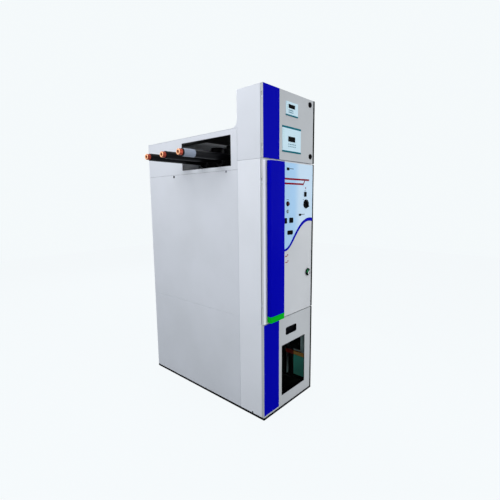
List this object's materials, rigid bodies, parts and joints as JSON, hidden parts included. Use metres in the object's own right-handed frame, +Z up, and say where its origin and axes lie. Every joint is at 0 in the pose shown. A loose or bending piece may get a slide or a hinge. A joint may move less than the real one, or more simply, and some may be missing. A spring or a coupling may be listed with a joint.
{
  "type": "gas-insulated switchgear panel",
  "caption": "Free-standing gas-insulated switchgear cubicle with relay box, mechanism door, cable cover with window and insulated busbars that pass through the side of its top housing.",
  "frame": {"origin": "on the floor, at the middle of the base's width and depth, on the underside of the base's cross rail", "axes": "+Z up, the operating front faces -Y, +X to the right of someone standing in front of it; the busbars reach out to -X"},
  "size_m": [0.97, 1.325, 2.25],
  "materials": {
    "bar_copper": "bare copper, lightly oxidised",
    "base_black": "black powder coat, satin",
    "cabinet_grey": "smooth light grey powder coat, semi-gloss",
    "cable_sheath": "extruded polyethylene sheath, matt",
    "control_black": "moulded black plastic, fine grain",
    "door_grey": "fine-texture light beige-grey powder coat",
    "insulator_black": "moulded silicone rubber, smooth, black",
    "line_blue": "blue raised film line",
    "lock_black": "black die-cast lock with plastic cap",
    "mechanism_grey": "grey enamel on cast and pressed parts",
    "mimic_blue": "printed polyester film on sheet, pale blue to white",
    "pane": "dark tinted laminated glass",
    "relay_case": "moulded relay front with pale cyan film",
    "seal_black": "extruded rubber profile, matt black",
    "stainless": "rolled stainless steel, 2B",
    "trim_blue": "deep blue gloss lacquer on a moulded cover",
    "trim_green": "bright green gloss lacquer on a moulded cover",
    "zinc_sheet": "zinc-coated sheet steel, dull spangle"
  },
  "bodies": {
    "cubicle": {"base_frame": "base_black", "busbar_adapters": "insulator_black", "busbar_bushings": "mechanism_grey", "busbar_contacts": "bar_copper", "busbar_end_plugs": "insulator_black", "busbar_front_wall": "zinc_sheet", "busbar_left_side": "cabinet_grey", "busbar_rear_cover": "cabinet_grey", "busbar_right_side": "cabinet_grey", "busbar_top_cover": "cabinet_grey", "busbars": "insulator_black", "cabinet_frame": "zinc_sheet", "cable_clamp_rail": "zinc_sheet", "cable_clamps": "control_black", "cable_cover": "door_grey", "cable_cover_seal": "seal_black", "cable_partition": "zinc_sheet", "cable_plugs": "insulator_black", "cable_window": "pane", "cables": "cable_sheath", "cover_grip": "control_black", "earth_bar": "bar_copper", "floor_plate": "zinc_sheet", "gas_tank": "stainless", "hinge_brackets": "zinc_sheet", "left_front_panel": "cabinet_grey", "left_lower_side_panel": "cabinet_grey", "left_upper_side_panel": "cabinet_grey", "mechanism_plate": "zinc_sheet", "mechanism_shelf": "zinc_sheet", "operating_drives": "mechanism_grey", "rear_lower_panel": "cabinet_grey", "rear_upper_panel": "cabinet_grey", "relay_box": "cabinet_grey", "relay_box_fairing": "cabinet_grey", "right_front_panel": "cabinet_grey", "right_lower_side_panel": "cabinet_grey", "right_upper_side_panel": "cabinet_grey", "tank_rails": "zinc_sheet", "terminal_rows": "control_black", "window_edging": "seal_black"},
    "relay_door": {"relay_door": "door_grey", "upper_relay": "relay_case", "lower_relay": "relay_case", "relay_door_locks": "lock_black", "relay_door_seal": "seal_black"},
    "mechanism_door": {"mechanism_door": "door_grey", "mechanism_door_seal": "seal_black", "blue_trim": "trim_blue", "green_trim_end": "trim_green", "mimic_panel": "mimic_blue", "mimic_curve": "line_blue", "panel_controls": "control_black"}
  },
  "joints": [
    {"name": "relay_door_hinge", "type": "hinge", "parent": "cubicle", "child": "relay_door", "pos_m": [-0.292, -0.637, 2], "axis": [0, 0, -1], "range_deg": [0, 110]},
    {"name": "mechanism_door_hinge", "type": "hinge", "parent": "cubicle", "child": "mechanism_door", "pos_m": [-0.292, -0.637, 1.2], "axis": [0, 0, -1], "range_deg": [0, 110]}
  ]
}
